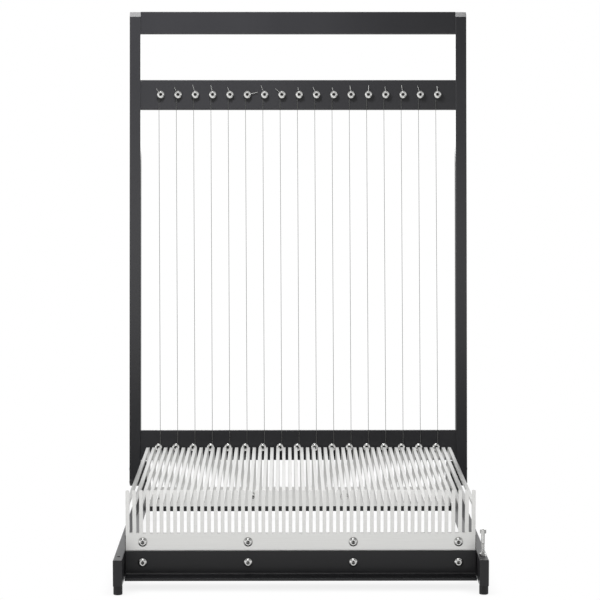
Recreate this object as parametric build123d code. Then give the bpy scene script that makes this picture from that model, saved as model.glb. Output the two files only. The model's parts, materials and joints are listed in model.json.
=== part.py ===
from build123d import *
import math
import os

# Wire slicer: a frame strung with wires swings down through the slots of a table.
# Millimetres. X is to the right, Y to the rear, Z up from the surface it stands on.
# While it is built, Y is counted from the front ends of the side rails.

# Cutting pattern: a wire falls in every third slot
slot_count = 51
slot_pitch = 7.5
slot_width = 3.5
slots_per_wire = 3
first_wire_slot = 1
wire_dia = 0.6

# Side rails and feet
foot_height = 9.8
foot_dia = 10.0
foot_edge = 0.8
foot_inset = 6.0
rail_width = 10.0
rail_height = 28.9
rail_length = 550.0
rail_edge = 0.8
table_side_clear = 1.0

# Slotted table, a folded sheet, and the slotted fence in front of it
table_sheet = 3.0
table_top = 92.7
table_bend = 5.0
flange_lift = 6.9
slot_floor_clear = 7.0
fence_front = 48.4
fence_sheet = 2.0
fence_rise = 14.4
fence_tip = 1.2

# Front cover, a folded sheet
cover_sheet = 3.0
cover_lift = 1.0
cover_lip = 22.0
cover_bend = 5.0
cover_edge = 0.5

# Cross beams between the rails
front_beam_thick = 8.0
rear_beam_thick = 6.0
beam_below_slots = 3.0

# Front and rear sheet screws, button heads with a hex socket
sheet_screw_dia = 6.0
front_screw_length = 14.0
rear_screw_length = 10.0
sheet_screw_pitch = 116.3
sheet_screw_count = 4
fence_screw_drop = 9.7
cover_screw_drop = 12.5
button_head_dia = 10.5
button_head_height = 3.3
button_head_rim = 0.5
button_head_flat = 6.2
button_head_bulge = 0.5
button_socket = 4.0
button_socket_depth = 2.0
socket_point_width = 0.95
socket_point_depth = 0.27

# Countersunk screws
rail_screw_dia = 4.0
rail_screw_length = 24.0
rail_screw_spacing = 13.5
bar_screw_dia = 5.0
bar_screw_length = 30.0
bar_screw_spacing = 14.0
countersunk_ratio = 1.85
countersunk_socket_ratio = 0.6
countersunk_socket_depth = 1.3

# Foot screws
foot_screw_dia = 2.5
foot_screw_head_dia = 4.5
foot_screw_head_height = 1.8
foot_screw_recess = 4.5
foot_screw_grip = 8.0
foot_screw_clear = 0.1

# Stop screw on the right rail
stop_back = 21.0
stop_dia = 4.0
stop_head_dia = 7.0
stop_head_height = 4.0
stop_head_edge = 0.4
stop_length = 45.0
stop_clear = 0.1
stop_socket = 3.0
stop_socket_depth = 2.0
locknut_flats = 7.0
locknut_height = 3.2

# Hinge
pivot_inset = 38.67
pivot_height = 53.7
pivot_dia = 6.0
pivot_gap = 0.6
pivot_washer_thick = 0.5
pivot_washer_dia = 13.0
pin_proud = 0.8
pin_edge = 0.75
ear_radius = 10.2
ear_back = 24.0
ear_rise = 5.6
limit_radius = 17.0
limit_pin_dia = 5.0
limit_pin_reach = 8.0
limit_clear = 0.3
lean_back = 6.3
closed_slope = 2.55

# Swinging frame: distances along the uprights from the pivot, and forward of the pivot
upright_width = 14.2
upright_depth = 20.0
upright_tail = 22.0
upright_bevel = 7.0
upright_edge = 1.0
bar_recess = 3.0
bar_thick = 10.0
bar_edge = 1.2
handle_height = 28.6
hand_gap = 60.4
tuning_height = 38.5
tuning_screw_out = 19.1
anchor_inner = 11.7
anchor_height = 38.8
anchor_screw_out = 16.9
anchor_clear = 7.4
swing_clear = 1.5

# Tension and anchor screws, and the wires wound on them
string_screw_dia = 6.0
string_neck_dia = 4.1
string_screw_tail = 1.5
wire_stand_off = 1.2
wire_layer = 1.0
head_stand_off = 2.8
wire_lean = 1.0
wire_wind_clear = 0.05
tension_wind = 210.0
anchor_wind = 250.0
wire_end_angles = [126, 117, 105, 101, 107, 14, 111, 137, 100, 115, 102, 97, 88, 95, 99, 107, 93]
wire_end_reaches = [
    9.7, 11.0, 13.5, 12.9, 10.4, 13.6, 13.1, 11.5, 9.3,
    11.4, 9.6, 11.6, 12.2, 10.5, 12.5, 12.0, 11.3,
]

# Fits
screw_clear = 0.05
press_clear = 0.02
running_clear = 0.05

# Worked out from the sizes above
table_half = (slot_count * slot_pitch + slot_pitch - slot_width) / 2
rail_inner = table_half + table_side_clear
rail_outer = rail_inner + rail_width
rail_bottom = foot_height
rail_top = rail_bottom + rail_height
upright_inner = rail_outer + pivot_gap
upright_outer = upright_inner + upright_width
pivot_back = rail_length - pivot_inset
table_front = fence_front + fence_sheet
flange_bottom = rail_bottom + flange_lift
fence_top = table_top + fence_rise
cover_front = fence_front - cover_sheet
cover_top = rail_top + cover_lift
cover_bottom = rail_bottom + cover_lift
front_beam_front = table_front + table_sheet
# The closed anchor bar lies behind the rear beam, and the table ends there.
rear_beam_back = pivot_back - anchor_inner - anchor_height - anchor_clear
table_rear = rear_beam_back - rear_beam_thick

bar_front = upright_depth / 2 - bar_recess
bar_back = bar_front - bar_thick
wire_forward = bar_front + wire_stand_off
# The tuning bar just clears the fence's top edge as it swings past.
tuning_inner = math.hypot(pivot_back - fence_front, fence_top - pivot_height) + swing_clear
tuning_screw_at = tuning_inner + tuning_screw_out
upright_top = tuning_inner + tuning_height + hand_gap + handle_height
anchor_screw_at = anchor_inner + anchor_screw_out
slope = math.radians(closed_slope)
lean = math.radians(lean_back)
closing_angle = 90 + lean_back - closed_slope
depth_over_all = pivot_back + upright_top * math.sin(lean) + upright_depth / 2 * math.cos(lean)


def closed_height(back, forward):
    """Height of a line of the closed frame, that far forward of the pivot, at a distance back."""
    return pivot_height + (pivot_back - back) * math.tan(slope) - forward / math.cos(slope)


front_slot_floor = closed_height(table_front, wire_forward) - slot_floor_clear
rear_slot_floor = closed_height(table_rear, wire_forward) - slot_floor_clear
front_beam_top = front_slot_floor - beam_below_slots
fence_screw_height = front_slot_floor - fence_screw_drop
cover_screw_height = cover_top - cover_screw_drop
rear_screw_height = (rear_slot_floor + flange_bottom) / 2
stop_side = rail_inner + rail_width / 2
stop_top = closed_height(stop_back + stop_head_dia / 2, bar_front) - stop_clear


def even_row(count, pitch):
    """Places of a row of like features, centred on the middle of the slicer."""
    return [(index - (count - 1) / 2) * pitch for index in range(count)]


sheet_screw_sides = even_row(sheet_screw_count, sheet_screw_pitch)
slot_sides = even_row(slot_count, slot_pitch)
wire_sides = slot_sides[first_wire_slot::slots_per_wire]
wind_radius = string_neck_dia / 2 + wire_wind_clear + wire_dia / 2
screw_side_step = wind_radius - wire_lean


def block(x, y, z):
    """A box between the two limits given for each axis."""
    size = Box(x[1] - x[0], y[1] - y[0], z[1] - z[0])
    return Pos((x[0] + x[1]) / 2, (y[0] + y[1]) / 2, (z[0] + z[1]) / 2) * size


def rod(start, direction, diameter, length):
    """A round bar or a hole's core from a point, along a direction."""
    shape = Cylinder(diameter / 2, length, align=(Align.CENTER, Align.CENTER, Align.MIN))
    return Plane(origin=start, z_dir=direction) * shape


def hex_core(start, direction, flats, length):
    """A hexagon bar, given across its flats, from a point along a direction."""
    shape = extrude(RegularPolygon(flats / 2, 6, major_radius=False), length)
    return Plane(origin=start, z_dir=direction) * shape


def hex_socket(mouth, direction, flats, depth):
    """The cut of a hex socket from its mouth inwards, with the drill's shallow point at its floor."""
    on_base = (Align.CENTER, Align.CENTER, Align.MIN)
    point = Cone(socket_point_width * flats / 2, 0, socket_point_depth * flats, align=on_base)
    floor = Plane(origin=mouth, z_dir=direction).offset(depth)
    return hex_core(mouth, direction, flats, depth) + floor * point


def button_head(seat):
    """A domed head with a hex socket, its underside at a height along +Z."""
    radius = button_head_dia / 2
    flat = button_head_flat / 2
    rim = seat + button_head_rim
    top = seat + button_head_height
    side = Polyline((0, seat), (radius, seat), (radius, rim))
    dome = SagittaArc((radius, rim), (flat, top), -button_head_bulge)
    cap = Polyline((flat, top), (0, top), (0, seat))
    head = revolve(Plane.XZ * make_face(side + dome + cap), Axis.Z)
    return head - hex_socket((0, 0, top), (0, 0, -1), button_socket, button_socket_depth)


def button_screw(place, length):
    """A sheet screw whose head sits on the plane given, with the head outwards."""
    shank = rod((0, 0, 0), (0, 0, -1), sheet_screw_dia, length)
    return place * (button_head(0) + shank)


def countersunk_screw(place, diameter, length):
    """A flush countersunk screw whose head lies in the plane given."""
    head_radius = countersunk_ratio * diameter / 2
    cone_depth = head_radius - diameter / 2
    cone = Cone(diameter / 2, head_radius, cone_depth, align=(Align.CENTER, Align.CENTER, Align.MAX))
    shank = rod((0, 0, -cone_depth), (0, 0, -1), diameter, length - cone_depth)
    socket = countersunk_socket_ratio * diameter
    drive = hex_core((0, 0, -countersunk_socket_depth), (0, 0, 1), socket, countersunk_socket_depth)
    return place * (cone + shank - drive)


def countersunk_hole(place, diameter, length):
    """The hole for a countersunk screw, wider all round by the screw clearance."""
    head_radius = countersunk_ratio * diameter / 2 + screw_clear
    hole_radius = diameter / 2 + screw_clear
    cone_depth = head_radius - hole_radius
    cone = Cone(hole_radius, head_radius, cone_depth, align=(Align.CENTER, Align.CENTER, Align.MAX))
    return place * (cone + rod((0, 0, 0), (0, 0, -1), 2 * hole_radius, length + screw_clear))


def bevelled_pin(start, direction, diameter, length):
    """A pin that stands a little proud of the length given, with its far end bevelled."""
    body = rod(start, direction, diameter, length + pin_proud)
    rims = body.edges().filter_by(GeomType.CIRCLE)
    far_rim = rims.sort_by(lambda edge: edge.center().dot(Vector(direction)))[-1]
    return chamfer(far_rim, pin_edge)


def in_frame(shape):
    """Takes a piece from the frame's own axes, with Z along the uprights, to its open place."""
    return Pos(0, pivot_back, pivot_height) * Rot(-lean_back, 0, 0) * shape


def long_edges(shape, axis, radius):
    """Rounds the edges of a bar that run along an axis."""
    return fillet(shape.edges().filter_by(axis), radius)


# Places of the screws that hold the beams, two at each end of a beam
front_beam_mid = front_beam_front + front_beam_thick / 2
rear_beam_mid = table_rear + rear_beam_thick / 2
rail_mid = (rail_bottom + rail_top) / 2


def rail_screw_places(side):
    places = []
    for back in (front_beam_mid, rear_beam_mid):
        for step in (-0.5, 0.5):
            height = rail_mid + step * rail_screw_spacing
            places.append(Plane(origin=(side * rail_outer, back, height), z_dir=(side, 0, 0)))
    return places


foot_backs = (foot_inset, rail_length - foot_inset)


# Side rail: a flat bar with a hinge ear, a curved slot for the limit pin and a tapped stop hole
def side_rail(side):
    across = sorted((side * rail_inner, side * rail_outer))
    rail = long_edges(block(across, (0, rail_length), (rail_bottom, rail_top)), Axis.Y, rail_edge)
    ear_points = [
        (pivot_back - ear_radius, rail_mid),
        (pivot_back - ear_radius, pivot_height),
        (pivot_back, pivot_height + ear_rise),
        (pivot_back + ear_back, pivot_height + ear_rise),
        (rail_length, rail_top),
        (rail_length, rail_mid),
    ]
    ear_face = make_face(Polyline(ear_points, close=True))
    ear_face += Pos(pivot_back, pivot_height) * Circle(ear_radius)
    side_plane = Plane(origin=(across[0], 0, 0), x_dir=(0, 1, 0), z_dir=(1, 0, 0))
    rail += extrude(side_plane * ear_face, rail_width)
    pin_hole = pivot_dia + 2 * press_clear
    rail -= rod((across[0], pivot_back, pivot_height), (1, 0, 0), pin_hole, rail_width)
    rail -= limit_slot(across[0])
    stop_hole = stop_dia + 2 * screw_clear
    rail -= rod((side * stop_side, stop_back, rail_bottom), (0, 0, 1), stop_hole, rail_height)
    for back in foot_backs:
        start = (side * stop_side, back, rail_bottom)
        rail -= rod(start, (0, 0, 1), foot_screw_dia + 2 * screw_clear, foot_screw_grip + screw_clear)
    for place in rail_screw_places(side):
        rail -= countersunk_hole(place, rail_screw_dia, rail_screw_length)
    return rail


def limit_slot(start):
    """The curved slot that the limit pin runs in, from the open to the closed end."""
    half = limit_pin_dia / 2 + limit_clear
    open_end = -90 - lean_back
    ring = Circle(limit_radius + half) - Circle(limit_radius - half)
    reach = 2 * limit_radius
    wedge_points = [(0, 0)]
    for step in range(4):
        angle = math.radians(open_end + closing_angle * step / 3)
        wedge_points.append((reach * math.cos(angle), reach * math.sin(angle)))
    shape = ring & make_face(Polyline(wedge_points, close=True))
    for degrees in (open_end, open_end + closing_angle):
        angle = math.radians(degrees)
        shape += Pos(limit_radius * math.cos(angle), limit_radius * math.sin(angle)) * Circle(half)
    plane = Plane(origin=(start, pivot_back, pivot_height), x_dir=(0, 1, 0), z_dir=(1, 0, 0))
    return extrude(plane * shape, rail_width)


# Cross beams
def front_beam():
    beam = block((-rail_inner, rail_inner), (front_beam_front, front_beam_front + front_beam_thick),
                 (rail_bottom, front_beam_top))
    hole = sheet_screw_dia + 2 * screw_clear
    for side in sheet_screw_sides:
        for height in (fence_screw_height, cover_screw_height):
            beam -= rod((side, front_beam_front, height), (0, 1, 0), hole, front_beam_thick)
    return beam_end_holes(beam)


def rear_beam():
    beam = block((-rail_inner, rail_inner), (table_rear, rear_beam_back), (rail_bottom, rail_top))
    hole = sheet_screw_dia + 2 * screw_clear
    for side in sheet_screw_sides:
        beam -= rod((side, table_rear, rear_screw_height), (0, 1, 0), hole, rear_beam_thick)
    return beam_end_holes(beam)


def beam_end_holes(beam):
    for side in (-1, 1):
        for place in rail_screw_places(side):
            beam -= countersunk_hole(place, rail_screw_dia, rail_screw_length)
    return beam


def rail_screws():
    places = rail_screw_places(-1) + rail_screw_places(1)
    return [countersunk_screw(place, rail_screw_dia, rail_screw_length) for place in places]


# Slotted table: one sheet folded down at the front and at the rear
def slotted_table():
    across = (-table_half, table_half)
    outer = block(across, (table_front, table_rear), (flange_bottom, table_top))
    outer = fillet(outer.edges().filter_by(Axis.X).group_by(Axis.Z)[-1], table_bend)
    inner = block(across, (table_front + table_sheet, table_rear - table_sheet),
                  (flange_bottom, table_top - table_sheet))
    inner = fillet(inner.edges().filter_by(Axis.X).group_by(Axis.Z)[-1], table_bend - table_sheet)
    table = outer - inner
    profile = [
        (table_front, front_slot_floor),
        (table_front + table_bend, front_slot_floor),
        (table_rear - table_bend, rear_slot_floor),
        (table_rear, rear_slot_floor),
        (table_rear, table_top),
        (table_front, table_top),
    ]
    table = table - slot_cuts(make_face(Polyline(profile, close=True)))
    hole = sheet_screw_dia + 2 * screw_clear
    for side in sheet_screw_sides:
        for height in (fence_screw_height, cover_screw_height):
            table -= rod((side, table_front, height), (0, 1, 0), hole, table_sheet)
        table -= rod((side, table_rear, rear_screw_height), (0, -1, 0), hole, table_sheet)
    return table


def slot_cuts(profile):
    """One cutter for each slot, of the side profile given."""
    cuts = []
    for side in slot_sides:
        plane = Plane(origin=(side - slot_width / 2, 0, 0), x_dir=(0, 1, 0), z_dir=(1, 0, 0))
        cuts.append(extrude(plane * profile, slot_width))
    return cuts


# Front fence: a slotted plate with rounded tips, its slots in line with the table's
def front_fence():
    fence = block((-table_half, table_half), (fence_front, table_front), (flange_bottom, fence_top))
    profile = Rectangle(fence_sheet, fence_top - front_slot_floor, align=(Align.MIN, Align.MIN))
    fence = fence - slot_cuts(Pos(fence_front, front_slot_floor) * profile)
    tips = fence.edges().filter_by(Axis.Y).group_by(Axis.Z)[-1]
    fence = fillet(tips, fence_tip)
    hole = sheet_screw_dia + 2 * screw_clear
    for side in sheet_screw_sides:
        for height in (fence_screw_height, cover_screw_height):
            fence -= rod((side, fence_front, height), (0, 1, 0), hole, fence_sheet)
    return fence


# Front cover: a sheet that hides the front beam, turned forward at the bottom as a lip
def front_cover():
    across = (-table_half, table_half)
    lip_front = cover_front - cover_lip
    outer = block(across, (lip_front, fence_front), (cover_bottom, cover_top))
    corner = outer.edges().filter_by(Axis.X).group_by(Axis.Z)[0].sort_by(Axis.Y)[-1]
    outer = fillet(corner, cover_bend)
    inner = block(across, (lip_front, cover_front), (cover_bottom + cover_sheet, cover_top))
    corner = inner.edges().filter_by(Axis.X).group_by(Axis.Z)[0].sort_by(Axis.Y)[-1]
    inner = fillet(corner, cover_bend - cover_sheet)
    cover = outer - inner
    lengthwise = cover.edges().filter_by(Axis.X)
    cover = fillet(lengthwise.group_by(Axis.Y)[0] + lengthwise.group_by(Axis.Z)[-1], cover_edge)
    hole = sheet_screw_dia + 2 * screw_clear
    for side in sheet_screw_sides:
        cover -= rod((side, cover_front, cover_screw_height), (0, 1, 0), hole, cover_sheet)
    return cover


def screw_row(back, height, length):
    """A row of sheet screws with their heads on a plate, facing the front."""
    places = [Plane(origin=(side, back, height), z_dir=(0, -1, 0)) for side in sheet_screw_sides]
    return [button_screw(place, length) for place in places]


# Rubber foot with its screw recess, and the screws
def rubber_foot(side, back):
    centre = (side * stop_side, back, 0)
    foot = rod(centre, (0, 0, 1), foot_dia, foot_height)
    foot = fillet(foot.edges().filter_by(GeomType.CIRCLE).sort_by(Axis.Z)[0], foot_edge)
    foot -= rod(centre, (0, 0, 1), foot_screw_head_dia + 2 * foot_screw_clear, foot_screw_recess)
    return foot - rod(centre, (0, 0, 1), foot_screw_dia + 2 * foot_screw_clear, foot_height)


def foot_screws():
    screws = []
    for side in (-1, 1):
        for back in foot_backs:
            seat = (side * stop_side, back, foot_screw_recess)
            head = rod(seat, (0, 0, -1), foot_screw_head_dia, foot_screw_head_height)
            grip = foot_height - foot_screw_recess + foot_screw_grip
            screws.append(head + rod(seat, (0, 0, 1), foot_screw_dia, grip))
    return screws


# Adjustable stop that the closed tuning bar lands on
def stop_screw():
    top = (stop_side, stop_back, stop_top)
    head = rod(top, (0, 0, -1), stop_head_dia, stop_head_height)
    head = chamfer(head.edges().filter_by(GeomType.CIRCLE).sort_by(Axis.Z)[-1], stop_head_edge)
    seat = (stop_side, stop_back, stop_top - stop_head_height)
    screw = head + rod(seat, (0, 0, -1), stop_dia, stop_length)
    return screw - hex_socket(top, (0, 0, -1), stop_socket, stop_socket_depth)


def stop_locknut():
    base = (stop_side, stop_back, rail_top)
    nut = hex_core(base, (0, 0, 1), locknut_flats, locknut_height)
    return nut - rod(base, (0, 0, 1), stop_dia + 2 * screw_clear, locknut_height)


# Hinge pins, pressed in the rail ears, and the washers on them
def pivot_pin(side):
    start = (side * rail_inner, pivot_back, pivot_height)
    return bevelled_pin(start, (side, 0, 0), pivot_dia, rail_width + pivot_gap + upright_width)


def pivot_washer(side):
    start = (side * (rail_outer + (pivot_gap - pivot_washer_thick) / 2), pivot_back, pivot_height)
    washer = rod(start, (side, 0, 0), pivot_washer_dia, pivot_washer_thick)
    return washer - rod(start, (side, 0, 0), pivot_dia + 2 * running_clear, pivot_washer_thick)


# Upright: a bar with a rounded tail below the pivot and a bevelled top
def bar_limits():
    """The lower and upper edge of each cross bar, along the uprights."""
    return {
        "handle_bar": (upright_top - handle_height, upright_top),
        "tuning_bar": (tuning_inner, tuning_inner + tuning_height),
        "anchor_bar": (anchor_inner, anchor_inner + anchor_height),
    }


def bar_screw_places(side, low, high):
    depth = -(bar_front + bar_back) / 2
    middle = (low + high) / 2
    places = []
    for step in (-0.5, 0.5):
        origin = (side * upright_outer, depth, middle + step * bar_screw_spacing)
        places.append(Plane(origin=origin, z_dir=(side, 0, 0)))
    return places


def upright(side):
    across = sorted((side * upright_inner, side * upright_outer))
    half = upright_depth / 2
    bar = block(across, (-half, half), (-upright_tail, upright_top))
    lower = bar.edges().filter_by(Axis.X).group_by(Axis.Z)[0]
    bar = fillet(lower, half - upright_edge)
    bevel = bar.edges().filter_by(Axis.X).group_by(Axis.Z)[-1].sort_by(Axis.Y)[0]
    bar = chamfer(bevel, upright_bevel)
    bar = long_edges(bar, Axis.Z, upright_edge)
    bar -= rod((across[0], 0, 0), (1, 0, 0), pivot_dia + 2 * running_clear, upright_width)
    bar -= rod((across[0], 0, -limit_radius), (1, 0, 0), limit_pin_dia + 2 * press_clear, upright_width)
    for low, high in bar_limits().values():
        for place in bar_screw_places(side, low, high):
            bar -= countersunk_hole(place, bar_screw_dia, bar_screw_length)
    return in_frame(bar)


def limit_pin(side):
    start = (side * (rail_outer - limit_pin_reach), 0, -limit_radius)
    length = limit_pin_reach + pivot_gap + upright_width
    return in_frame(bevelled_pin(start, (side, 0, 0), limit_pin_dia, length))


# Cross bars of the frame
def cross_bar(name):
    low, high = bar_limits()[name]
    bar = block((-upright_inner, upright_inner), (-bar_front, -bar_back), (low, high))
    bar = long_edges(bar, Axis.X, bar_edge)
    for side in (-1, 1):
        for place in bar_screw_places(side, low, high):
            bar -= countersunk_hole(place, bar_screw_dia, bar_screw_length)
    return bar


def string_bar(name, screw_at, screw_sides):
    """A cross bar with a tapped hole for each of its string screws."""
    bar = cross_bar(name)
    for side in screw_sides:
        bar -= rod((side, -bar_front, screw_at), (0, 1, 0), string_screw_dia + 2 * screw_clear, bar_thick)
    return in_frame(bar)


def bar_screws():
    screws = []
    for low, high in bar_limits().values():
        for side in (-1, 1):
            for place in bar_screw_places(side, low, high):
                screws.append(in_frame(countersunk_screw(place, bar_screw_dia, bar_screw_length)))
    return screws


# String screws: a domed head, a thin neck that the wire winds on, and a threaded shank
tension_sides = [side + screw_side_step for side in wire_sides]
anchor_sides = [side - screw_side_step for side in wire_sides]


def string_screw():
    """A string screw along +Z, with the bar's front face at height 0."""
    neck = rod((0, 0, 0), (0, 0, 1), string_neck_dia, head_stand_off)
    shank = rod((0, 0, 0), (0, 0, -1), string_screw_dia, bar_thick + string_screw_tail)
    return button_head(head_stand_off) + neck + shank


def string_screw_place(side, screw_at):
    """The plane of a string screw on its bar's front face, facing forward."""
    return Plane(origin=(side, -bar_front, screw_at), x_dir=(1, 0, 0), z_dir=(0, -1, 0))


def tension_screw(index):
    """One tension screw and the loose end of its wire, held in a hole through the neck."""
    height = wire_stand_off + wire_layer
    angle = math.radians(wire_end_angles[index % len(wire_end_angles)])
    reach = wire_end_reaches[index % len(wire_end_reaches)]
    direction = (math.cos(angle), math.sin(angle), 0)
    screw = string_screw()
    screw -= rod((0, 0, height), direction, wire_dia + 2 * wire_wind_clear, string_neck_dia)
    wire_end = rod((0, 0, height), direction, wire_dia, reach)
    place = string_screw_place(tension_sides[index], tuning_screw_at)
    return [in_frame(place * screw), in_frame(place * wire_end)]


def anchor_screws():
    screw = string_screw()
    return [in_frame(string_screw_place(side, anchor_screw_at) * screw) for side in anchor_sides]


# Cutting wire: wound on a tension screw, straight down to its anchor screw and wound on that
def cutting_wire(tension_side, anchor_side):
    drop = tuning_screw_at - anchor_screw_at
    shift = anchor_side - tension_side
    turn = math.asin(2 * wind_radius / math.hypot(shift, drop)) + math.atan2(shift, drop)
    low_touch = math.degrees(turn)
    top_touch = 180 + low_touch

    def on_circle(side, height, degrees):
        angle = math.radians(degrees)
        return (side + wind_radius * math.cos(angle), -wire_forward, height + wind_radius * math.sin(angle))

    def arc(side, height, start, end):
        points = [on_circle(side, height, start + (end - start) * step / 2) for step in range(3)]
        return ThreePointArc(*points)

    top = arc(tension_side, tuning_screw_at, top_touch - tension_wind, top_touch)
    low = arc(anchor_side, anchor_screw_at, low_touch, low_touch - anchor_wind)
    path = Curve() + [top, Line(top @ 1, low @ 0), low]
    section = Plane(origin=top @ 0, z_dir=top % 0) * Circle(wire_dia / 2)
    return in_frame(sweep(section, path=path))


def cutting_wires():
    return [cutting_wire(*sides) for sides in zip(tension_sides, anchor_sides)]


os.makedirs("parts", exist_ok=True)


def write(node, shapes):
    """Writes one node, moved so that the origin is under the middle of the whole slicer."""
    pieces = shapes if isinstance(shapes, list) else [shapes]
    solids = []
    for piece in pieces:
        solids += (Pos(0, -depth_over_all / 2, 0) * piece).solids()
    body = solids[0] if len(solids) == 1 else Compound(children=solids)
    body.label = node
    export_step(body, f"parts/{node}.step")


for name, side in (("left", -1), ("right", 1)):
    write(f"{name}_side_rail", side_rail(side))
    write(f"front_{name}_foot", rubber_foot(side, foot_backs[0]))
    write(f"rear_{name}_foot", rubber_foot(side, foot_backs[1]))
    write(f"{name}_pivot_pin", pivot_pin(side))
    write(f"{name}_pivot_washer", pivot_washer(side))
    write(f"{name}_upright", upright(side))
    write(f"{name}_limit_pin", limit_pin(side))

write("front_beam", front_beam())
write("rear_beam", rear_beam())
write("rail_screws", rail_screws())
write("slotted_table", slotted_table())
write("front_fence", front_fence())
write("front_cover", front_cover())
write("fence_screws", screw_row(fence_front, fence_screw_height, front_screw_length))
write("cover_screws", screw_row(cover_front, cover_screw_height, front_screw_length))
write("rear_table_screws", screw_row(table_rear - table_sheet, rear_screw_height, rear_screw_length))
write("foot_screws", foot_screws())
write("stop_screw", stop_screw())
write("stop_locknut", stop_locknut())

write("handle_bar", in_frame(cross_bar("handle_bar")))
write("tuning_bar", string_bar("tuning_bar", tuning_screw_at, tension_sides))
write("anchor_bar", string_bar("anchor_bar", anchor_screw_at, anchor_sides))
write("bar_screws", bar_screws())
write("anchor_screws", anchor_screws())
write("cutting_wires", cutting_wires())
for index in range(len(wire_sides)):
    write(f"tension_screw_{index + 1:02d}", tension_screw(index))

print("pivot", 0, pivot_back - depth_over_all / 2, pivot_height, "closing", closing_angle)
print("stop top", stop_top, "slot floors", front_slot_floor, rear_slot_floor)
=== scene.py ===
import json
import math

import bpy
from mathutils import Matrix, Vector


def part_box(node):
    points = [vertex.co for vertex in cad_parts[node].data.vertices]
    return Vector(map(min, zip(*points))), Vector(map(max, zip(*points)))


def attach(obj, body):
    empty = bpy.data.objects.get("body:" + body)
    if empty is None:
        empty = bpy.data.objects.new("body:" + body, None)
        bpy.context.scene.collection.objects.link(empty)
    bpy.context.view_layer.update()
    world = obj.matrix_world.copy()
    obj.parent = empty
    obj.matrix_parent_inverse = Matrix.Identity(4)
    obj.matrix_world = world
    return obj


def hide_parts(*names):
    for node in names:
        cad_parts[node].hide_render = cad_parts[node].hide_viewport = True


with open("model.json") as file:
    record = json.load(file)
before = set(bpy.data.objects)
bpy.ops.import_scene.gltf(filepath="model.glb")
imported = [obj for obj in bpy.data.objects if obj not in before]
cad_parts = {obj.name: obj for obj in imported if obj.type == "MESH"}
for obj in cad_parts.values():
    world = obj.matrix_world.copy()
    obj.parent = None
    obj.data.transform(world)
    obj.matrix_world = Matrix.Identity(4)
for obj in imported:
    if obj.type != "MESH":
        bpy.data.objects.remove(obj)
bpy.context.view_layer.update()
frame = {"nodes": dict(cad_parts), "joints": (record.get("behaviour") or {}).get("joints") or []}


# Side rails and cross beams: flat steel bars that carry the whole slicer, with a hinge ear at
# the rear of each rail. Sawn and drilled, then powder coated black, which leaves a satin skin
# with a fine orange peel over everything, holes and edges too.
mm = 0.001
coat_black = "#1b1b1d"
coat_bloom = "#212123"
coat_cloud = 90.0
# The real peel is about 1 mm from bump to bump; it is drawn twice as coarse, so that it shows.
coat_peel = 2.0
coat_peel_detail = 1.0
coat_peel_height = 0.004
rail_roughness = (0.33, 0.41)
rail_specular = 0.33


def linear(hex_colour):
    """An sRGB hex colour as linear RGBA."""
    parts = [int(hex_colour[i:i + 2], 16) / 255 for i in (1, 3, 5)]
    light = [c / 12.92 if c <= 0.04045 else ((c + 0.055) / 1.055) ** 2.4 for c in parts]
    return (*light, 1.0)


def add_node(tree, kind, inputs=None, **settings):
    """Adds a node to a tree, with its settings, and sets or links its inputs."""
    node = tree.nodes.new(kind)
    for name, value in settings.items():
        setattr(node, name, value)
    for name, value in (inputs or {}).items():
        if isinstance(value, bpy.types.NodeSocket):
            tree.links.new(value, node.inputs[name])
        else:
            node.inputs[name].default_value = value
    return node


def start_material(name):
    """A new material, with its node tree, its shader and its Object coordinates."""
    material = bpy.data.materials.new(name)
    material.use_nodes = True
    tree = material.node_tree
    place = add_node(tree, "ShaderNodeTexCoord").outputs["Object"]
    return material, tree, tree.nodes["Principled BSDF"], place


def powder_coat(name, roughness, specular):
    """Black powder coat with a least and a greatest roughness, cloudy and finely bumpy."""
    material, tree, shader, place = start_material(name)
    cloud = add_node(tree, "ShaderNodeTexNoise", {"Vector": place, "Scale": 1 / (coat_cloud * mm)})
    tint = add_node(tree, "ShaderNodeMix",
                    {0: cloud.outputs[0], 6: linear(coat_black), 7: linear(coat_bloom)}, data_type="RGBA")
    gloss = add_node(tree, "ShaderNodeMapRange",
                     {"Value": cloud.outputs[0], "To Min": roughness[0], "To Max": roughness[1]})
    peel = add_node(tree, "ShaderNodeTexNoise",
                    {"Vector": place, "Scale": 1 / (coat_peel * mm), "Detail": coat_peel_detail})
    bump = add_node(tree, "ShaderNodeBump",
                    {"Height": peel.outputs[0], "Distance": coat_peel_height * mm, "Strength": 1.0})
    tree.links.new(tint.outputs[2], shader.inputs["Base Color"])
    tree.links.new(gloss.outputs[0], shader.inputs["Roughness"])
    tree.links.new(bump.outputs[0], shader.inputs["Normal"])
    shader.inputs["Specular IOR Level"].default_value = specular
    return material


def dress(material, *nodes):
    """Gives CAD nodes one material."""
    for node in nodes:
        mesh = frame["nodes"][node].data
        mesh.materials.clear()
        mesh.materials.append(material)


rail_coat = powder_coat("black_powder_coat_dull", rail_roughness, rail_specular)
dress(rail_coat, "left_side_rail", "right_side_rail", "front_beam", "rear_beam")


# Black screws of the beams, of the frame's bars and of the feet: hardened steel with a black oxide
# finish, which is thin and slightly oily, so that it shines a little and holds some dust.
oxide_black = "#161617"
oxide_dust = "#232324"
oxide_speck = 1.2
oxide_roughness = 0.33


def black_oxide_steel():
    """Black oxide on steel, specked with grey."""
    material, tree, shader, place = start_material("black_oxide_screw_steel")
    speck = add_node(tree, "ShaderNodeTexNoise", {"Vector": place, "Scale": 1 / (oxide_speck * mm)})
    tint = add_node(tree, "ShaderNodeMix",
                    {0: speck.outputs[0], 6: linear(oxide_black), 7: linear(oxide_dust)}, data_type="RGBA")
    tree.links.new(tint.outputs[2], shader.inputs["Base Color"])
    shader.inputs["Roughness"].default_value = oxide_roughness
    return material


dress(black_oxide_steel(), "rail_screws", "bar_screws", "foot_screws")


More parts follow.
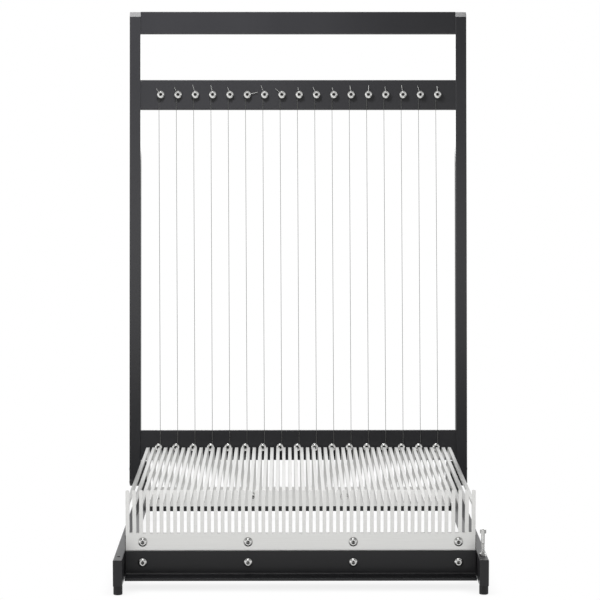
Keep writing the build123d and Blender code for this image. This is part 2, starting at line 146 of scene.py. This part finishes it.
# Feet: round rubber studs under the rail ends, each held by a screw sunk in its middle.
# Moulded rubber is dull, with a fine grain from the mould.
rubber_black = "#121213"
rubber_grey = "#1c1c1d"
rubber_grain = 0.9
rubber_grain_height = 0.03
rubber_roughness = 0.62
rubber_specular = 0.35


def moulded_rubber():
    """Black rubber with the mould's grain."""
    material, tree, shader, place = start_material("black_moulded_rubber")
    grain = add_node(tree, "ShaderNodeTexNoise", {"Vector": place, "Scale": 1 / (rubber_grain * mm)})
    tint = add_node(tree, "ShaderNodeMix",
                    {0: grain.outputs[0], 6: linear(rubber_black), 7: linear(rubber_grey)}, data_type="RGBA")
    bump = add_node(tree, "ShaderNodeBump",
                    {"Height": grain.outputs[0], "Distance": rubber_grain_height * mm, "Strength": 1.0})
    tree.links.new(tint.outputs[2], shader.inputs["Base Color"])
    tree.links.new(bump.outputs[0], shader.inputs["Normal"])
    shader.inputs["Roughness"].default_value = rubber_roughness
    shader.inputs["Specular IOR Level"].default_value = rubber_specular
    return material


dress(moulded_rubber(), "front_left_foot", "front_right_foot", "rear_left_foot", "rear_right_foot")


# Slotted table and front fence: stainless sheet, laser cut, the table folded down at both ends.
# A belt has brushed it along the sheet, which leaves long fine scratches and blurred reflections.
stainless_light = "#dededc"
stainless_dark = "#cfcfcd"
stainless_roughness = (0.26, 0.38)
# The scratches are drawn 0.6 mm wide and not a tenth of that, so that they show.
scratch_width = 0.6
scratch_length = 45.0
scratch_detail = 3.0
scratch_height = 0.004


def brushed_stainless(name, along):
    """Stainless sheet brushed along the X or the Y axis."""
    material, tree, shader, place = start_material(name)
    across = 1 / (scratch_width * mm)
    run = 1 / (scratch_length * mm)
    stretch = (run, across, across) if along == "X" else (across, run, across)
    lines = add_node(tree, "ShaderNodeMapping", {"Vector": place, "Scale": stretch})
    scratch = add_node(tree, "ShaderNodeTexNoise",
                       {"Vector": lines.outputs[0], "Scale": 1.0, "Detail": scratch_detail})
    tint = add_node(tree, "ShaderNodeMix",
                    {0: scratch.outputs[0], 6: linear(stainless_dark), 7: linear(stainless_light)},
                    data_type="RGBA")
    gloss = add_node(tree, "ShaderNodeMapRange",
                     {"Value": scratch.outputs[0], "To Min": stainless_roughness[0],
                      "To Max": stainless_roughness[1]})
    bump = add_node(tree, "ShaderNodeBump",
                    {"Height": scratch.outputs[0], "Distance": scratch_height * mm, "Strength": 1.0})
    tree.links.new(tint.outputs[2], shader.inputs["Base Color"])
    tree.links.new(gloss.outputs[0], shader.inputs["Roughness"])
    tree.links.new(bump.outputs[0], shader.inputs["Normal"])
    shader.inputs["Metallic"].default_value = 1.0
    return material


dress(brushed_stainless("stainless_sheet_brushed_lengthwise", "Y"), "slotted_table")
dress(brushed_stainless("stainless_sheet_brushed_across", "X"), "front_fence")


# Front cover: steel sheet with its bottom edge turned forward as a lip. Its black powder coat is
# smoother than that on the rails and reflects a little less.
cover_roughness = (0.28, 0.36)
cover_specular = 0.28
dress(powder_coat("black_powder_coat_on_sheet", cover_roughness, cover_specular), "front_cover")


# Button screws of the fence, the cover and the table's rear: stainless, cold headed and tumbled,
# so the domes are bright and only a little dulled.
bright_light = "#dcdcda"
bright_dark = "#b8b8b7"
bright_roughness = (0.16, 0.27)
tumble_mark = 1.5
# The colour of the painted shade in the sockets.
socket_painted_shade = "#2b2a29"
button_socket_reach = 2.6
# Painted shade covers what is less open than the first share, and thins out up to the second.
painted_shade_opening = (0.45, 0.85)


def bright_stainless(name, reach, dark, light):
    """Tumbled stainless between two tones, with painted shade in recesses that are a reach or so wide."""
    material, tree, shader, place = start_material(name)
    marks = add_node(tree, "ShaderNodeTexNoise", {"Vector": place, "Scale": 1 / (tumble_mark * mm)})
    tint = add_node(tree, "ShaderNodeMix",
                    {0: marks.outputs[0], 6: linear(dark), 7: linear(light)}, data_type="RGBA")
    # Painted shade darkens the sockets, where little light reaches.
    painted_shade_occlusion = add_node(tree, "ShaderNodeAmbientOcclusion", {"Distance": reach * mm}, only_local=True)
    unshaded_share = add_node(tree, "ShaderNodeMapRange",
                     {"Value": painted_shade_occlusion.outputs["AO"], "From Min": painted_shade_opening[0],
                      "From Max": painted_shade_opening[1]})
    shaded_tint = add_node(tree, "ShaderNodeMix",
                      {0: unshaded_share.outputs[0], 6: linear(socket_painted_shade), 7: tint.outputs[2]}, data_type="RGBA")
    gloss = add_node(tree, "ShaderNodeMapRange",
                     {"Value": marks.outputs[0], "To Min": bright_roughness[0],
                      "To Max": bright_roughness[1]})
    tree.links.new(shaded_tint.outputs[2], shader.inputs["Base Color"])
    tree.links.new(gloss.outputs[0], shader.inputs["Roughness"])
    shader.inputs["Metallic"].default_value = 1.0
    return material


bright_steel = bright_stainless("stainless_screw_tumbled", button_socket_reach, bright_dark, bright_light)
dress(bright_steel, "fence_screws", "cover_screws", "rear_table_screws")


# Stop screw: a stainless M4 socket cap screw that stands upright in the right rail, with a knurled
# head, a plain stretch under it and a rolled thread from there down. The closed frame rests on it,
# so it sets how deep the wires go.
stop_low, stop_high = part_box("stop_screw")
stop_middle = (stop_low + stop_high) / 2
stop_head_radius = (stop_high.x - stop_low.x) / 2
stop_head_height = 4.0 * mm
stop_head_edge = 0.4 * mm
knurl_teeth = 36
knurl_height = 0.12 * mm
socket_flats = 3.0 * mm
socket_depth = 2.0 * mm
socket_point = 0.8 * mm
socket_point_share = 0.1
shank_sides = 48
plain_shank = 11.0 * mm
thread_pitch = 0.7 * mm
thread_root = 1.58 * mm
thread_crest = 1.97 * mm
thread_taper = 0.5 * mm
thread_end_share = 0.8
thread_core_sides = 32
thread_steps = 20
# The ridge of the thread starts a little inside the core, and these shares of the pitch and of
# its own foot give the width of its foot and of its crest.
ridge_sink = 0.08 * mm
ridge_foot_share = 0.94
ridge_crest_share = 0.16
smooth_angle = 35.0
stop_socket_reach = 0.2
flats_to_corners = 1 / math.cos(math.radians(30))


def upright_bar(name, sides, radius, low, high, turn=0.0):
    """A bar of so many sides on the stop screw's axis, from one height to another."""
    bpy.ops.object.select_all(action="DESELECT")
    middle = (stop_middle.x, stop_middle.y, (low + high) / 2)
    bpy.ops.mesh.primitive_cylinder_add(
        vertices=sides, radius=radius, depth=high - low, location=middle, rotation=(0, 0, turn))
    bpy.ops.object.transform_apply(location=True, rotation=True, scale=True)
    bar = bpy.context.object
    bar.name = name
    return bar


def pick_faces(piece, test):
    """Selects the faces that a test picks, in edit mode."""
    bpy.ops.object.mode_set(mode="EDIT")
    bpy.ops.mesh.select_mode(type="FACE")
    bpy.ops.mesh.select_all(action="DESELECT")
    bpy.ops.object.mode_set(mode="OBJECT")
    for face in piece.data.polygons:
        face.select = test(face)
    bpy.ops.object.mode_set(mode="EDIT")


def taper_end(piece, up, length, share):
    """Draws out the top or bottom face of a bar, and narrows it to a share of its width."""
    pick_faces(piece, lambda face: face.normal.z * up > 0.9)
    bpy.ops.mesh.extrude_region_move(TRANSFORM_OT_translate={"value": (0, 0, up * length)})
    bpy.ops.transform.resize(value=(share, share, 1))
    bpy.ops.object.mode_set(mode="OBJECT")


def apply_modifier(piece, kind, **settings):
    """Adds a modifier to a piece and applies it at once."""
    bpy.ops.object.select_all(action="DESELECT")
    piece.select_set(True)
    bpy.context.view_layer.objects.active = piece
    modifier = piece.modifiers.new(kind.lower(), kind)
    for name, value in settings.items():
        setattr(modifier, name, value)
    bpy.ops.object.modifier_apply(modifier=modifier.name)


def combine(piece, operation, tool):
    """Cuts a piece by a tool piece, which is used up."""
    apply_modifier(piece, "BOOLEAN", operation=operation, solver="EXACT", object=tool)
    bpy.data.objects.remove(tool)


def close_piece(pieces, material, body, slot, *nodes):
    """Joins modelled pieces to the first one, and sets its normals, finish, body and CAD nodes."""
    bpy.ops.object.select_all(action="DESELECT")
    for piece in pieces:
        piece.select_set(True)
    whole = pieces[0]
    bpy.context.view_layer.objects.active = whole
    if len(pieces) > 1:
        bpy.ops.object.join()
    bpy.ops.object.mode_set(mode="EDIT")
    bpy.ops.mesh.select_all(action="SELECT")
    bpy.ops.mesh.normals_make_consistent(inside=False)
    bpy.ops.object.mode_set(mode="OBJECT")
    bpy.ops.object.shade_smooth_by_angle(angle=math.radians(smooth_angle))
    whole.data.materials.clear()
    whole.data.materials.append(material)
    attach(whole, body)
    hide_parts(*nodes)


def knurl_tooth(face):
    """Whether a side face of the head, one of two for each tooth, is a tooth."""
    angle = math.atan2(face.center.y - stop_middle.y, face.center.x - stop_middle.x)
    return abs(face.normal.z) < 0.5 and math.floor(angle * knurl_teeth / math.pi) % 2 == 0


stop_seat = stop_high.z - stop_head_height
stop_head = upright_bar("stop_screw_threaded", 2 * knurl_teeth, stop_head_radius - knurl_height,
                        stop_seat, stop_high.z - stop_head_edge)
pick_faces(stop_head, knurl_tooth)
bpy.ops.mesh.inset(thickness=knurl_height / 3, depth=knurl_height, use_individual=True)
bpy.ops.object.mode_set(mode="OBJECT")
taper_end(stop_head, 1, stop_head_edge, 1 - stop_head_edge / stop_head_radius)
stop_socket = upright_bar("stop_socket", 6, socket_flats / 2 * flats_to_corners,
                          stop_high.z - socket_depth, stop_high.z + socket_depth)
taper_end(stop_socket, -1, socket_point, socket_point_share)
combine(stop_head, "DIFFERENCE", stop_socket)

stop_core = upright_bar("stop_core", thread_core_sides, thread_root,
                        stop_low.z + thread_taper, stop_seat + thread_taper)
taper_end(stop_core, -1, thread_taper, thread_end_share)

# The thread is one ridge, drawn as a four-sided section and wound up the core.
ridge_inner = thread_root - ridge_sink
ridge_size = thread_crest - ridge_inner
ridge_start = (stop_middle.x, stop_middle.y, stop_low.z + thread_pitch)
bpy.ops.object.select_all(action="DESELECT")
bpy.ops.mesh.primitive_plane_add(size=ridge_size, location=ridge_start)
stop_ridge = bpy.context.object
bpy.ops.object.mode_set(mode="EDIT")
bpy.ops.transform.rotate(value=math.radians(90), orient_axis="X", center_override=stop_ridge.location)
bpy.ops.transform.translate(value=(ridge_inner + ridge_size / 2, 0, 0))
bpy.ops.transform.resize(value=(1, 1, ridge_foot_share * thread_pitch / ridge_size))
bpy.ops.object.mode_set(mode="OBJECT")
for corner in stop_ridge.data.vertices:
    corner.select = corner.co.x > ridge_inner + ridge_size / 2
bpy.ops.object.mode_set(mode="EDIT")
bpy.ops.transform.resize(value=(1, 1, ridge_crest_share))
bpy.ops.object.mode_set(mode="OBJECT")
thread_turns = int((stop_seat - plain_shank - stop_low.z) / thread_pitch) - 1
apply_modifier(stop_ridge, "SCREW", axis="Z", screw_offset=thread_pitch, iterations=thread_turns,
               steps=thread_steps, render_steps=thread_steps)
bpy.ops.object.transform_apply(location=True, rotation=True, scale=True)
bpy.ops.object.mode_set(mode="EDIT")
bpy.ops.mesh.select_mode(type="EDGE")
bpy.ops.mesh.select_all(action="DESELECT")
bpy.ops.mesh.select_non_manifold()
bpy.ops.mesh.fill()
bpy.ops.object.mode_set(mode="OBJECT")
stop_shank = upright_bar("stop_shank", shank_sides, thread_crest,
                         stop_seat - plain_shank, stop_seat + thread_taper)
taper_end(stop_shank, -1, thread_taper, thread_root / thread_crest)
# Its painted shade reaches only a fifth of a millimetre, so it barely darkens the socket and the thread.
stop_steel = bright_stainless("stainless_screw_little_painted_shade", stop_socket_reach, bright_dark, bright_light)
close_piece([stop_head, stop_core, stop_shank, stop_ridge], stop_steel, "stop", "screw_steel", "stop_screw")


# Lock nut: a low hexagon nut that holds the stop screw at its height. Its corners are turned down
# on both sides, as they are on a nut cut from hexagon bar.
nut_low, nut_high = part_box("stop_locknut")
nut_corner = (nut_high.x - nut_low.x) / 2
nut_turn_down = 0.5 * mm
nut_turning_sides = 96
nut_bore = 2.05 * mm
lock_nut = upright_bar("stop_locknut_turned", 6, nut_corner, nut_low.z, nut_high.z, math.radians(30))
nut_turning = upright_bar("nut_turning", nut_turning_sides, nut_corner, nut_low.z, nut_high.z)
apply_modifier(nut_turning, "BEVEL", width=nut_turn_down, segments=1, limit_method="ANGLE")
combine(lock_nut, "INTERSECT", nut_turning)
nut_hole = upright_bar("nut_hole", shank_sides, nut_bore, nut_low.z - mm, nut_high.z + mm)
combine(lock_nut, "DIFFERENCE", nut_hole)
close_piece([lock_nut], bright_steel, "base", "screw_steel", "stop_locknut")


# Hinge: a steel pin pressed in each rail ear, a nylon washer between ear and upright, and a
# limit pin in each upright that runs in the ear's curved slot. Natural nylon is a cloudy cream.
nylon_white = "#dedbd0"
nylon_cream = "#cfccc0"
nylon_cloud = 4.0
nylon_roughness = 0.45


def natural_nylon():
    """Undyed nylon, cloudy as it comes from the mould."""
    material, tree, shader, place = start_material("natural_nylon")
    cloud = add_node(tree, "ShaderNodeTexNoise", {"Vector": place, "Scale": 1 / (nylon_cloud * mm)})
    tint = add_node(tree, "ShaderNodeMix",
                    {0: cloud.outputs[0], 6: linear(nylon_white), 7: linear(nylon_cream)}, data_type="RGBA")
    tree.links.new(tint.outputs[2], shader.inputs["Base Color"])
    shader.inputs["Roughness"].default_value = nylon_roughness
    return material


dress(bright_steel, "left_pivot_pin", "right_pivot_pin", "left_limit_pin", "right_limit_pin")
dress(natural_nylon(), "left_pivot_washer", "right_pivot_washer")


# Swinging frame: two uprights and three cross bars, flat bar as the rails are, powder coated
# before the screws go in. Hands polish it in use, so it shines more than the base.
frame_roughness = (0.12, 0.17)
frame_specular = 0.33
frame_coat = powder_coat("black_powder_coat_glossy", frame_roughness, frame_specular)
dress(frame_coat, "left_upright", "right_upright", "handle_bar", "tuning_bar", "anchor_bar")


# String screws: stainless button screws with a turned neck for the wire. Their stainless is a lighter copy
# of the other screws' stainless. It is painted light that stands in for the stronger light on them, so they
# are brighter than the other screws.
lit_copy_light = "#f2f2f0"
lit_copy_dark = "#d2d2d0"
# Their sockets get painted shade of a wider reach.
string_socket_reach = 3.4
lit_copy_steel = bright_stainless("stainless_screw_painted_lit_copy", string_socket_reach, lit_copy_dark, lit_copy_light)
tension_turns = [joint for joint in frame["joints"] if joint["name"].startswith("tension_turn")]
tension_nodes = [f"tension_screw_{index + 1:02d}" for index in range(len(tension_turns))]
dress(lit_copy_steel, "anchor_screws", *tension_nodes)


# Cutting wires: stainless wire, wound on a tension screw at the top and on an anchor screw at the
# bottom, and pulled straight between them. Drawing leaves a dull grey film on it, so it is darker
# than the screws.
wire_grey = "#6c6c6a"
wire_mark = 6.0
wire_roughness = (0.22, 0.36)
wire_radius = 0.3 * mm
wire_rounding = 2
wind_radius = 2.4 * mm
wind_step = 10.0
wire_height = 1.2 * mm
wire_drop = 458.0 * mm
wire_shift = -2.8 * mm
# Each winding starts to climb its neck at one angle and ends at another. Angles are in degrees,
# from the right and anticlockwise as seen from the front.
tension_end = -75.0
tension_end_height = 2.2 * mm
tension_climb = -25.0
anchor_climb = -180.0
anchor_end = -430.0
anchor_end_height = 2.05 * mm


def drawn_wire():
    """Drawn stainless wire, a little uneven in its gloss."""
    material, tree, shader, place = start_material("drawn_stainless_wire")
    marks = add_node(tree, "ShaderNodeTexNoise", {"Vector": place, "Scale": 1 / (wire_mark * mm)})
    gloss = add_node(tree, "ShaderNodeMapRange",
                     {"Value": marks.outputs[0], "To Min": wire_roughness[0], "To Max": wire_roughness[1]})
    tree.links.new(gloss.outputs[0], shader.inputs["Roughness"])
    shader.inputs["Base Color"].default_value = linear(wire_grey)
    shader.inputs["Metallic"].default_value = 1.0
    return material


def wind(middle, start, end, start_height, end_height):
    """Points of a wire wound round a screw's neck, between two angles and two heights off the bar."""
    count = math.ceil(abs(end - start) / wind_step)
    points = []
    for step in range(count + 1):
        share = step / count
        angle = math.radians(start + (end - start) * share)
        round_neck = wind_radius * (math.cos(angle) * across_bar + math.sin(angle) * up_frame)
        points.append(middle + round_neck + (start_height + (end_height - start_height) * share) * off_bar)
    return points


def draw_wire(name, points):
    """A round wire along points, as a mesh with closed ends."""
    curve = bpy.data.curves.new(name, "CURVE")
    curve.dimensions = "3D"
    curve.bevel_depth = wire_radius
    curve.bevel_resolution = wire_rounding
    curve.use_fill_caps = True
    spline = curve.splines.new("POLY")
    spline.points.add(len(points) - 1)
    for knot, point in zip(spline.points, points):
        knot.co = (*point, 1.0)
    wire = bpy.data.objects.new(name, curve)
    bpy.context.scene.collection.objects.link(wire)
    bpy.ops.object.select_all(action="DESELECT")
    wire.select_set(True)
    bpy.context.view_layer.objects.active = wire
    bpy.ops.object.convert(target="MESH")
    return bpy.context.object


off_bar = Vector(tension_turns[0]["axis"])
across_bar = Vector((1, 0, 0))
up_frame = off_bar.cross(across_bar)
tension_middle = Vector(tension_turns[0]["pos_m"])
anchor_middle = tension_middle + wire_shift * across_bar - wire_drop * up_frame
lean = math.asin(2 * wind_radius / math.hypot(wire_shift, wire_drop)) + math.atan2(wire_shift, wire_drop)
anchor_touch = math.degrees(lean)
tension_touch = anchor_touch + 180
wire_route = wind(tension_middle, tension_end, tension_climb, tension_end_height, wire_height)
wire_route += wind(tension_middle, tension_climb, tension_touch, wire_height, wire_height)[1:]
wire_route += wind(anchor_middle, anchor_touch, anchor_climb, wire_height, wire_height)
wire_route += wind(anchor_middle, anchor_climb, anchor_end, wire_height, anchor_end_height)[1:]
first_wire = draw_wire("cutting_wire_01", wire_route)
wire_steel = drawn_wire()
for index, joint in enumerate(tension_turns[1:]):
    wire = first_wire.copy()
    wire.data = first_wire.data.copy()
    wire.name = f"cutting_wire_{index + 2:02d}"
    wire.data.transform(Matrix.Translation(Vector(joint["pos_m"]) - tension_middle))
    bpy.context.scene.collection.objects.link(wire)
    close_piece([wire], wire_steel, "frame", "wire_steel", "cutting_wires")
close_piece([first_wire], wire_steel, "frame", "wire_steel", "cutting_wires")


# Camera: where the photograph was taken from, a little below the frame's top and to the left of
# its middle. Its place is in metres and its turns are in degrees.
camera_lens = 141.06
camera_place = (-0.01685, -2.80684, 0.55916)
camera_tilt = 84.62
camera_turn = -0.36
camera_data = bpy.data.cameras.new("camera")
camera_data.lens = camera_lens
camera = bpy.data.objects.new("camera", camera_data)
camera.location = camera_place
camera.rotation_euler = (math.radians(camera_tilt), 0, math.radians(camera_turn))
bpy.context.scene.collection.objects.link(camera)
bpy.context.scene.camera = camera


# Floor: plain white studio paper, lit evenly. A painted shadow makes it only a little darker close under the
# slicer. What the metal mirrors of it is brightest in front, where the fence sees it, and dim on the right
# and behind, which gives the wires and the screws their dark edges.
floor_size = 30.0
contact_shadow_reach = 0.025
contact_shadow_opening = (0.1, 0.9)
contact_shadow_level = 0.82
paper_front = (-0.58, -0.85)
paper_front_level = 1.4
# How far out the mirrored paper starts and stops fading, and its level from there on.
paper_right = (0.3, 0.6, 0.3)
paper_left = (-0.3, -0.6, 0.8)
paper_back = (0.3, 0.6, 0.3)
bpy.ops.object.select_all(action="DESELECT")
bpy.ops.mesh.primitive_plane_add(size=floor_size, location=(0, 0, 0))
floor = bpy.context.object
floor.name = "floor"
paper = bpy.data.materials.new("white_studio_paper")
paper.use_nodes = True
tree = paper.node_tree
# Occlusion dims the paper's glow close under the slicer: a painted contact shadow.
painted_shade_occlusion = add_node(tree, "ShaderNodeAmbientOcclusion", {"Distance": contact_shadow_reach})
painted_contact_shadow = add_node(tree, "ShaderNodeMapRange",
                   {"Value": painted_shade_occlusion.outputs["AO"], "From Min": contact_shadow_opening[0],
                    "From Max": contact_shadow_opening[1], "To Min": contact_shadow_level})
place = add_node(tree, "ShaderNodeTexCoord").outputs["Object"]
spot = add_node(tree, "ShaderNodeSeparateXYZ", {0: place}).outputs
front = add_node(tree, "ShaderNodeMapRange",
                 {"Value": spot["Y"], "From Min": paper_front[0], "From Max": paper_front[1],
                  "To Min": 1.0, "To Max": paper_front_level})
mirrored = 1.0
for value, paper_edge in ((spot["X"], paper_right), (spot["X"], paper_left), (spot["Y"], paper_back)):
    start, end, level = paper_edge
    levels = {"Value": value, "From Min": start, "From Max": end, "To Min": 1.0, "To Max": level}
    edge = add_node(tree, "ShaderNodeMapRange", levels, interpolation_type="SMOOTHSTEP").outputs[0]
    mirrored = add_node(tree, "ShaderNodeMath", {0: mirrored, 1: edge}, operation="MINIMUM").outputs[0]
seen = add_node(tree, "ShaderNodeLightPath").outputs["Is Camera Ray"]
shown = add_node(tree, "ShaderNodeMath", {0: mirrored, 1: seen}, operation="MAXIMUM").outputs[0]
light = add_node(tree, "ShaderNodeMath", {0: painted_contact_shadow.outputs[0], 1: front.outputs[0]}, operation="MULTIPLY")
strength = add_node(tree, "ShaderNodeMath", {0: light.outputs[0], 1: shown}, operation="MULTIPLY")
glow = add_node(tree, "ShaderNodeEmission", {"Strength": strength.outputs[0]})
tree.links.new(glow.outputs[0], tree.nodes["Material Output"].inputs["Surface"])
floor.data.materials.append(paper)


# Room: a white sweep behind, white walls at the sides, a dim ceiling and, in front, one low panel
# that is brighter on its left. The camera itself sees plain white.
world = bpy.data.worlds.new("studio")
bpy.context.scene.world = world
world.use_nodes = True
sky = world.node_tree
direction = add_node(sky, "ShaderNodeTexCoord").outputs["Generated"]
toward = add_node(sky, "ShaderNodeSeparateXYZ", {0: direction}).outputs
sideways = add_node(sky, "ShaderNodeMath", {0: toward["X"]}, operation="ABSOLUTE").outputs[0]
# Each fade goes by one part of the direction: where along it the fade starts and ends, and the
# levels there.
room_fades = {
    "sweep": (toward["Y"], 0.05, 0.5, 0.0, 2.1),
    "sweep_top": (toward["Z"], 0.1, 0.35, 1.0, 0.25),
    "walls": (sideways, 0.45, 0.75, 0.0, 0.5),
    "ceiling": (toward["Z"], 0.5, 0.95, 0.05, 0.4),
    "panel": (toward["Z"], 0.072, 0.116, 0.0, 1.84),
    "panel_middle": (toward["Z"], 0.15, 0.23, 1.0, 0.14),
    "panel_top": (toward["Z"], 0.3, 0.5, 1.0, 0.0),
}
fades = {}
for name, (value, start, end, start_level, end_level) in room_fades.items():
    levels = {"Value": value, "From Min": start, "From Max": end, "To Min": start_level, "To Max": end_level}
    fades[name] = add_node(sky, "ShaderNodeMapRange", levels, interpolation_type="SMOOTHSTEP").outputs[0]
in_front = add_node(sky, "ShaderNodeMath", {0: toward["Y"], 1: 0.0}, operation="LESS_THAN")
# The panel's light falls off evenly from its left to its right.
panel = add_node(sky, "ShaderNodeMapRange", {"Value": toward["X"], "From Min": -0.2, "From Max": 0.3,
                                             "To Min": 1.22, "To Max": 0.7}).outputs[0]
for edge in (in_front.outputs[0], fades["panel"], fades["panel_middle"], fades["panel_top"]):
    panel = add_node(sky, "ShaderNodeMath", {0: panel, 1: edge}, operation="MULTIPLY").outputs[0]
sweep = add_node(sky, "ShaderNodeMath", {0: fades["sweep"], 1: fades["sweep_top"]}, operation="MULTIPLY")
around = add_node(sky, "ShaderNodeMath", {0: sweep.outputs[0], 1: fades["walls"]}, operation="MAXIMUM")
above = add_node(sky, "ShaderNodeMath", {0: panel, 1: fades["ceiling"]}, operation="ADD")
room = add_node(sky, "ShaderNodeMath", {0: above.outputs[0], 1: around.outputs[0]}, operation="ADD")
seen = add_node(sky, "ShaderNodeLightPath").outputs["Is Camera Ray"]
shown = add_node(sky, "ShaderNodeMix", {0: seen, 2: room.outputs[0], 3: 1.0}, data_type="FLOAT")
sky.links.new(shown.outputs[0], sky.nodes["Background"].inputs["Strength"])
sky.nodes["Background"].inputs["Color"].default_value = linear("#ffffff")


# Lights: a small one hangs over the frame, a little to the left, and draws the shadows without
# showing in the metal. A large weak one stands over the front, and a narrow one behind shows on
# the bevels of the uprights. Places and sizes are in metres.
def softbox(name, place, aim, size, power, shows=True):
    """A studio light of a width and a depth that looks at a point, itself out of the picture."""
    light = bpy.data.lights.new(name, "AREA")
    light.shape = "RECTANGLE"
    light.size, light.size_y = size
    light.energy = power
    lamp = bpy.data.objects.new(name, light)
    lamp.location = place
    lamp.rotation_euler = (Vector(aim) - Vector(place)).to_track_quat("-Z", "Y").to_euler()
    lamp.visible_camera = False
    lamp.visible_glossy = shows
    bpy.context.scene.collection.objects.link(lamp)


softbox("hanging_light", place=(-0.15, -0.02, 0.87), aim=(-0.15, -0.02, 0.0), size=(0.15, 0.15),
        power=8.5, shows=False)
softbox("front_softbox", place=(-0.2, -1.1, 2.1), aim=(0.0, 0.0, 0.2), size=(0.9, 0.9), power=9.0)
softbox("back_strip", place=(-0.1, 0.67, 2.2), aim=(-0.1, 0.28, 0.64), size=(0.9, 0.16), power=4.8)

bpy.context.scene.view_settings.view_transform = "Standard"
